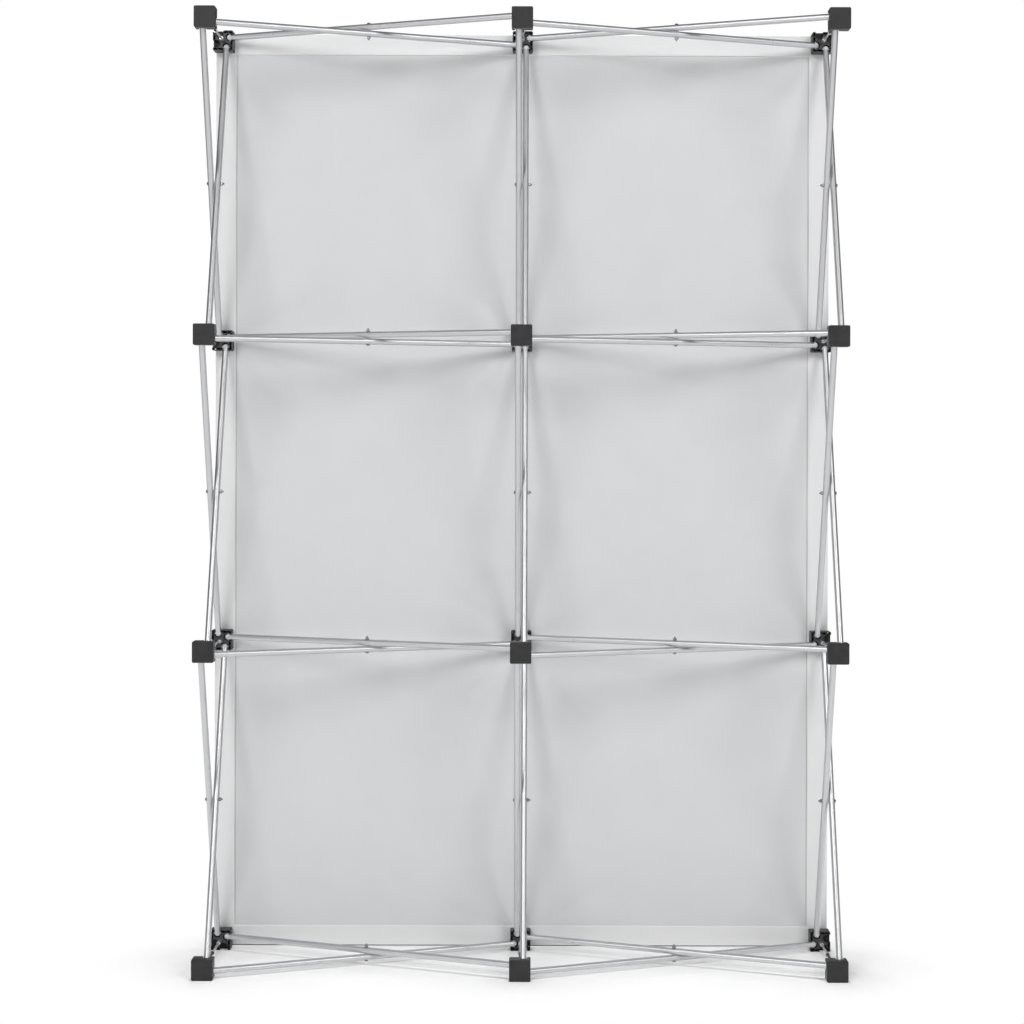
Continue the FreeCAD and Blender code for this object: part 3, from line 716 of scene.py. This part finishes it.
BUTTON = 0.123
for bay in range(2):
    for row in range(4):
        low_x, high_x = column_x(bay) + PIN_REACH, column_x(bay + 1) - PIN_REACH
        low_z, high_z = row_z(row) - PIN_OFFSET, row_z(row) + PIN_OFFSET
        name = f"cross_tube_{ACROSS_BAYS[bay]}_{ROWS[row]}"
        length = math.hypot(high_x - low_x, FRONT_PINS - REAR_PINS)
        middle, along = build_tube(f"{name}_low", np.array([low_x, REAR_PINS, low_z]),
                                   np.array([high_x, FRONT_PINS, low_z]), Z_AXIS, length - BUTTON)
        build_tube(f"{name}_high", np.array([low_x, FRONT_PINS, high_z]),
                   np.array([high_x, REAR_PINS, high_z]), Z_AXIS, BUTTON)
        build_crossing(name, f"{name}_low", middle, along, Z_AXIS, row == 3)
for column in range(3):
    for bay in range(3):
        low_x, high_x = column_x(column) - PIN_OFFSET, column_x(column) + PIN_OFFSET
        low_z, high_z = row_z(bay) + PIN_REACH, row_z(bay + 1) - PIN_REACH
        name = f"upright_tube_{COLUMNS[column]}_{HEIGHT_BAYS[bay]}"
        middle, along = build_tube(f"{name}_left", np.array([low_x, FRONT_PINS, low_z]),
                                   np.array([low_x, REAR_PINS, high_z]), X_AXIS)
        build_tube(f"{name}_right", np.array([high_x, REAR_PINS, low_z]),
                   np.array([high_x, FRONT_PINS, high_z]), X_AXIS)
        build_crossing(name, f"{name}_left", middle, along, X_AXIS, column == 2)

# Fabric panel, cut into bands at the rows of hubs and fins between them, which share their edges


def drape(across, height):
    """How far the cloth stands off its plane, in metres, at a place (x, z), as a sum of four parts that are
    nothing at the hubs. A belly in each bay is |sin(pi x / pitch) sin(pi z / pitch)|. Tension folds fan out
    from each hub as cos(9 a + p) + 0.6 cos(14 a - 2.1 p + 0.5) over the angle a round it, with its own phase
    p, in a soft ring. Short waves run up the two sides, and slow swells over the whole. The sum s becomes
    (s + sqrt(s^2 + e^2) - e) / 2, so that no fold comes nearer to the hubs than e / 2."""
    belly_rise, fold_rise, wave_rise, slow_rise, least = 0.0042, 0.0022, 0.0014, 0.0012, 0.0008
    fold_ring, fold_width, hub_clear, fade_run = 0.13, 0.11, 0.036, 0.08
    wave_width, wave_pitch = 0.045, 0.185
    bay_x = np.abs(np.sin(np.pi * across / HUB_PITCH))
    bay_z = np.abs(np.sin(np.pi * (height - HUB_HALF) / HUB_PITCH))
    belly = belly_rise * bay_x * bay_z
    folds = np.zeros(np.broadcast(across, height).shape)
    for column in range(3):
        for row in range(4):
            right, up = across - column_x(column), height - row_z(row)
            away = np.hypot(right, up)
            angle = np.arctan2(up, right)
            phase = 0.9 * column + 1.7 * row
            fan = np.cos(9 * angle + phase) + 0.6 * np.cos(14 * angle - 2.1 * phase + 0.5)
            ring = np.exp(-((away - fold_ring) / fold_width) ** 2)
            folds += fold_rise * fan * ring * np.clip((away - hub_clear) / fade_run, 0, 1)
    side = np.exp(-((CLOTH_SIDE - np.abs(across)) / wave_width) ** 2)
    waves = wave_rise * side * bay_z * np.sin(2 * np.pi * height / wave_pitch + 2.0 * np.sign(across))
    swells = np.sin(7.0 * across + 3.1 * height) * np.cos(5.3 * height - 2.0 * across)
    total = belly + folds + waves + slow_rise * bay_x * bay_z * swells
    return (total + np.sqrt(total ** 2 + least ** 2) - least) / 2


def curl(across, height):
    """How far the hem's inner edge stands off the cloth towards the open back, in metres: at the sides a lip
    that is highest at that edge, fades over 16 mm and comes and goes along the side, and at the top a
    steadier one that fades over 10 mm. Both are nothing at the hubs."""
    side_rise, side_width, top_rise, top_width, pitch = 0.0032, 0.016, 0.0026, 0.010, 0.43
    beyond = np.abs(across) - (CLOTH_SIDE - HEM_WIDTH)
    lip = np.where(beyond > 0, np.exp(-(np.maximum(beyond, 0) / side_width) ** 2), 0.0)
    bay = np.abs(np.sin(np.pi * (height - HUB_HALF) / HUB_PITCH))
    comes = 0.55 + 0.45 * np.sin(2 * np.pi * height / pitch + 1.3 * np.sign(across))
    above = height - (CLOTH_HEAD - HEM_WIDTH)
    top = np.where(above > 0, np.exp(-(np.maximum(above, 0) / top_width) ** 2), 0.0)
    between = np.clip(3 * np.abs(np.sin(np.pi * across / HUB_PITCH)), 0, 1)
    return side_rise * lip * bay * comes + top_rise * top * between


def stops(low, high, spacing, extra=()):
    """Places from low to high, evenly spaced between the extra ones."""
    apart = 1e-6
    marks = sorted({low, high, *[mark for mark in extra if low + apart < mark < high - apart]})
    runs = []
    for start, end in zip(marks, marks[1:]):
        steps = max(1, math.ceil((end - start) / spacing))
        runs.append(np.linspace(start, end, steps + 1)[:-1])
    return np.concatenate(runs + [[high]])


def cloth_piece(name, left, right, foot, head):
    """A thin closed sheet over (x, z): its back is at CLOTH_BACK + drape - hem(x, z) - curl(x, z), where hem
    rises by 1 mm over 1.2 mm at the hem's edge, and its front at CLOTH_FRONT + drape. A thin strip of the
    panel just inside the hem's edge at the two sides is painted shadow, the shade of that edge, and a thin
    dark strip along the panel's foot is painted shadow, the shade of the gap to the floor."""
    spacing, hem_rise, rise_run, foot_shadow_height = 0.011, 0.001, 0.0012, 0.0025
    shadow_strip_start, shadow_strip_end, apart = 0.0006, 0.0028, 1e-6
    panel_slot, hem_slot, seam_shadow_slot, foot_shadow_slot = 0, 1, 2, 3
    edge_x, edge_low, edge_high = CLOTH_SIDE - HEM_WIDTH, CLOTH_FOOT + HEM_WIDTH, CLOTH_HEAD - HEM_WIDTH
    foot_shadow_edge = CLOTH_FOOT + foot_shadow_height
    near = (-0.0120, -0.0060, -0.0024, -shadow_strip_start, shadow_strip_start, shadow_strip_end)
    xs = stops(left, right, spacing, [sign * (edge_x - step) for sign in (-1, 1) for step in near])
    marks = [edge_low - step for step in near] + [edge_high + step for step in near] + [foot_shadow_edge]
    zs = stops(foot, head, spacing, marks)
    across, height = np.meshgrid(xs, zs)
    inside = np.minimum(edge_x - np.abs(across), np.minimum(height - edge_low, edge_high - height))
    rise = np.clip(0.5 - inside / rise_run, 0, 1)
    hem = hem_rise * rise * rise * (3 - 2 * rise) + curl(across, height)
    offset = drape(across, height)
    back = np.stack([across, CLOTH_BACK + offset - hem, height], -1).reshape(-1, 3)
    front = np.stack([across, CLOTH_FRONT + offset, height], -1).reshape(-1, 3)
    back_faces, faces = sheet_faces(*across.shape)
    middle = inside.reshape(-1)[back_faces].mean(axis=1)
    beside = (edge_x - np.abs(across)).reshape(-1)[back_faces].mean(axis=1)
    # Painted shadow: the panel's thin strip just inside the hem's edge at the two sides.
    seam_shadow = (beside > shadow_strip_start) & (beside < shadow_strip_end) & (middle > 0)
    # Painted shadow: a thin dark strip along the panel's foot, on its back and its front.
    in_foot_shadow = height.reshape(-1)[back_faces].max(axis=1) < foot_shadow_edge + apart
    count = len(back_faces)
    slots = np.full(len(faces), panel_slot)
    slots[:count][middle < 0] = hem_slot
    slots[:count][seam_shadow] = seam_shadow_slot
    slots[:count][in_foot_shadow] = foot_shadow_slot
    slots[count:2 * count][in_foot_shadow] = foot_shadow_slot
    points = np.concatenate([back, front])
    uv = points[faces][..., [0, 2]] + [CLOTH_SIDE, 0.0]
    piece = new_piece(name, points, faces, [PANEL_KNIT, HEM_KNIT, SEAM_PAINTED_SHADOW, FOOT_PAINTED_SHADOW], slots, uv,
                      sharp=50)
    return piece


# Each half of the panel has four bands, and three fins in each bay. Each piece is listed with a share of its
# width and a landing place for the folded wall: for a wide piece over its half of the bundle, and for a
# narrow fin in a channel between the tubes. Nothing in this script reads them.

BANDS = [(CLOTH_FOOT, 0.054), (0.7415, 0.7895), (1.477, 1.5255), (2.213, CLOTH_HEAD)]
LOW_SPLITS = [0.400, 1.000, 1.600]
HIGH_SPLITS = [0.668, 1.268, 1.869]
WIDE = 0.1
NARROW = 0.0125
LOWER_CHANNEL = 0.0208
HIGHER_CHANNEL = 0.0312
cloth = []
for half, left, right, outwards in (("left", -CLOTH_SIDE, 0.0, -1), ("right", 0.0, CLOTH_SIDE, 1)):
    wide_landing = WIDE * (left + right) / 2
    for row, (foot, head) in enumerate(BANDS):
        band = cloth_piece(f"fabric_band_{half}_{ROWS[row]}", left, right, foot, head)
        body = f"front_hub_middle_{ROWS[row]}"
        cloth.append((band, body, WIDE, wide_landing, (right - left, head - foot)))
    for bay in range(3):
        cuts = [BANDS[bay][1], LOW_SPLITS[bay], HIGH_SPLITS[bay], BANDS[bay + 1][0]]
        fins = (("lower", "left", NARROW, outwards * LOWER_CHANNEL), ("middle", "left", WIDE, wide_landing),
                ("higher", "right", NARROW, outwards * HIGHER_CHANNEL))
        for (label, tube, keep, landing), foot, head in zip(fins, cuts, cuts[1:]):
            fin = cloth_piece(f"fabric_{label}_{half}_{HEIGHT_BAYS[bay]}", left, right, foot, head)
            body = f"upright_tube_middle_{HEIGHT_BAYS[bay]}_{tube}"
            cloth.append((fin, body, keep, landing, (right - left, head - foot)))
for piece, body, keep, landing, flat in cloth:
    middle = np.mean([corner[0] for corner in piece.bound_box])
    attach(piece, body)
    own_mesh(piece)
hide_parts("fabric_panel", "fabric_hem")


def build_patch(row):
    """A square of loop tape sewn on the cloth behind a middle hub, with its border rounded."""
    spacing, back_level, front_level = 0.0025, 0.1581, 0.1589
    rounding, round_run = 0.0003, 0.0015
    places = stops(-HUB_HALF, HUB_HALF, spacing)
    across, height = np.meshgrid(places, places)
    beyond = np.maximum(np.abs(across), np.abs(height)) - (HUB_HALF - round_run)
    rounded = rounding * np.clip(beyond / round_run, 0, 1) ** 2
    levels = (back_level + rounded, front_level - rounded)
    grids = [np.stack([across, level, height + row_z(row)], -1).reshape(-1, 3) for level in levels]
    points = np.concatenate(grids)
    faces = sheet_faces(*across.shape)[1]
    uv = points[faces][..., [0, 2]]
    piece = new_piece(f"loop_patch_{ROWS[row]}", points, faces, [LOOP_TAPE], None, uv, sharp=50)
    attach(piece, f"front_hub_middle_{ROWS[row]}")


for row in (1, 2):
    build_patch(row)

# Floor, which turns white away from the wall


def build_floor():
    """A large floor. A camera sees it with a faint glow near the wall and pure white beyond an oval round the
    wall, and all other light meets plain pale paint."""
    size, near_edge, far_edge = 9.0, 0.78, 1.15
    oval = (1.05, 2.4, 0.0)
    points = np.array([[-size, -size, 0], [size, -size, 0], [size, size, 0], [-size, size, 0]])
    floor = new_piece("studio_floor", points, np.array([[0, 1, 2, 3]]), [])
    material = bpy.data.materials.new("floor_white")
    material.use_nodes = True
    tree = material.node_tree
    shader = tree.nodes["Principled BSDF"]
    shader.inputs["Base Color"].default_value = (0.875, 0.875, 0.875, 1)
    shader.inputs["Roughness"].default_value = 0.75
    shader.inputs["Specular IOR Level"].default_value = 0.2
    glow = tree.nodes.new("ShaderNodeEmission")
    glow.inputs["Strength"].default_value = 0.05
    lifted = tree.nodes.new("ShaderNodeAddShader")
    tree.links.new(shader.outputs[0], lifted.inputs[0])
    tree.links.new(glow.outputs[0], lifted.inputs[1])
    white = tree.nodes.new("ShaderNodeEmission")
    white.inputs["Strength"].default_value = 1.0
    coordinates = tree.nodes.new("ShaderNodeTexCoord")
    distance = tree.nodes.new("ShaderNodeVectorMath")
    distance.operation = "LENGTH"
    tree.links.new(scaled(tree, coordinates.outputs["Object"], oval), distance.inputs[0])
    far = range_node(tree, distance.outputs["Value"], from_low=near_edge, from_high=far_edge)
    seen = tree.nodes.new("ShaderNodeMixShader")
    tree.links.new(far, seen.inputs[0])
    tree.links.new(lifted.outputs[0], seen.inputs[1])
    tree.links.new(white.outputs[0], seen.inputs[2])
    path = tree.nodes.new("ShaderNodeLightPath")
    rays = math_node(tree, "MAXIMUM", path.outputs["Is Camera Ray"], path.outputs["Is Glossy Ray"])
    choice = tree.nodes.new("ShaderNodeMixShader")
    tree.links.new(rays, choice.inputs[0])
    tree.links.new(shader.outputs[0], choice.inputs[1])
    tree.links.new(seen.outputs[0], choice.inputs[2])
    tree.links.new(choice.outputs[0], tree.nodes["Material Output"].inputs["Surface"])
    floor.data.materials.append(material)


build_floor()

# A white studio. Its soft light comes most from the camera's side, and the camera sees a white backdrop. Two
# lamps stand in front, one behind and one overhead.

world = bpy.data.worlds.new("studio")
scene.world = world
world.use_nodes = True
sky = world.node_tree
sky.nodes.clear()
split = sky.nodes.new("ShaderNodeSeparateXYZ")
sky.links.new(sky.nodes.new("ShaderNodeTexCoord").outputs["Generated"], split.inputs[0])
walls = range_node(sky, split.outputs[1], from_low=-0.85, from_high=0.05, to_low=0.34, to_high=0.10)
overhead = range_node(sky, split.outputs[2], from_low=0.20, from_high=0.65)
overhead_strength = 0.20
from_walls = math_node(sky, "MULTIPLY", walls, math_node(sky, "SUBTRACT", 1.0, overhead))
level = math_node(sky, "ADD", from_walls, math_node(sky, "MULTIPLY", overhead, overhead_strength))
ambient = sky.nodes.new("ShaderNodeBackground")
sky.links.new(level, ambient.inputs["Strength"])
backdrop = sky.nodes.new("ShaderNodeBackground")
backdrop.inputs["Strength"].default_value = 1.0
for shade in (ambient, backdrop):
    shade.inputs["Color"].default_value = (1, 1, 1, 1)
path = sky.nodes.new("ShaderNodeLightPath")
choice = sky.nodes.new("ShaderNodeMixShader")
sky.links.new(path.outputs["Is Camera Ray"], choice.inputs[0])
sky.links.new(ambient.outputs[0], choice.inputs[1])
sky.links.new(backdrop.outputs[0], choice.inputs[2])
sky.links.new(choice.outputs[0], sky.nodes.new("ShaderNodeOutputWorld").inputs["Surface"])

# Each lamp has a name, a place, a width in metres and a power in watts, and is turned to the wall's middle.

AIM = [0.0, 0.0, 1.13]
for name, place, size, power in (("lamp_left", (-3.0, -7.0, 5.0), 3.0, 250.0),
                                 ("lamp_right", (3.9, -5.6, 4.8), 2.7, 160.0),
                                 ("lamp_behind", (-0.6, 5.6, 3.4), 3.0, 170.0),
                                 ("lamp_overhead", (0.0, 0.1, 8.0), 1.7, 340.0)):
    lamp = bpy.data.lights.new(name, "AREA")
    lamp.shape = "DISK"
    lamp.size = size
    lamp.energy = power
    holder = bpy.data.objects.new(name, lamp)
    away = np.array(place) - AIM
    holder.location = place
    holder.rotation_euler = (math.atan2(math.hypot(away[0], away[1]), away[2]), 0,
                             math.atan2(away[0], -away[1]))
    holder.visible_glossy = name in ("lamp_left", "lamp_right")
    scene.collection.objects.link(holder)

# Camera at the photograph's place

camera = bpy.data.cameras.new("camera")
camera.lens = 70.43
camera.sensor_width = 36.0
camera.shift_x = -0.01713
camera.shift_y = -0.06816
viewer = bpy.data.objects.new("camera", camera)
viewer.location = (0.01931, -4.8131, 1.2540)
viewer.rotation_euler = (math.pi / 2, -0.00282, 0)
scene.collection.objects.link(viewer)
scene.camera = viewer
scene.view_settings.view_transform = "Standard"
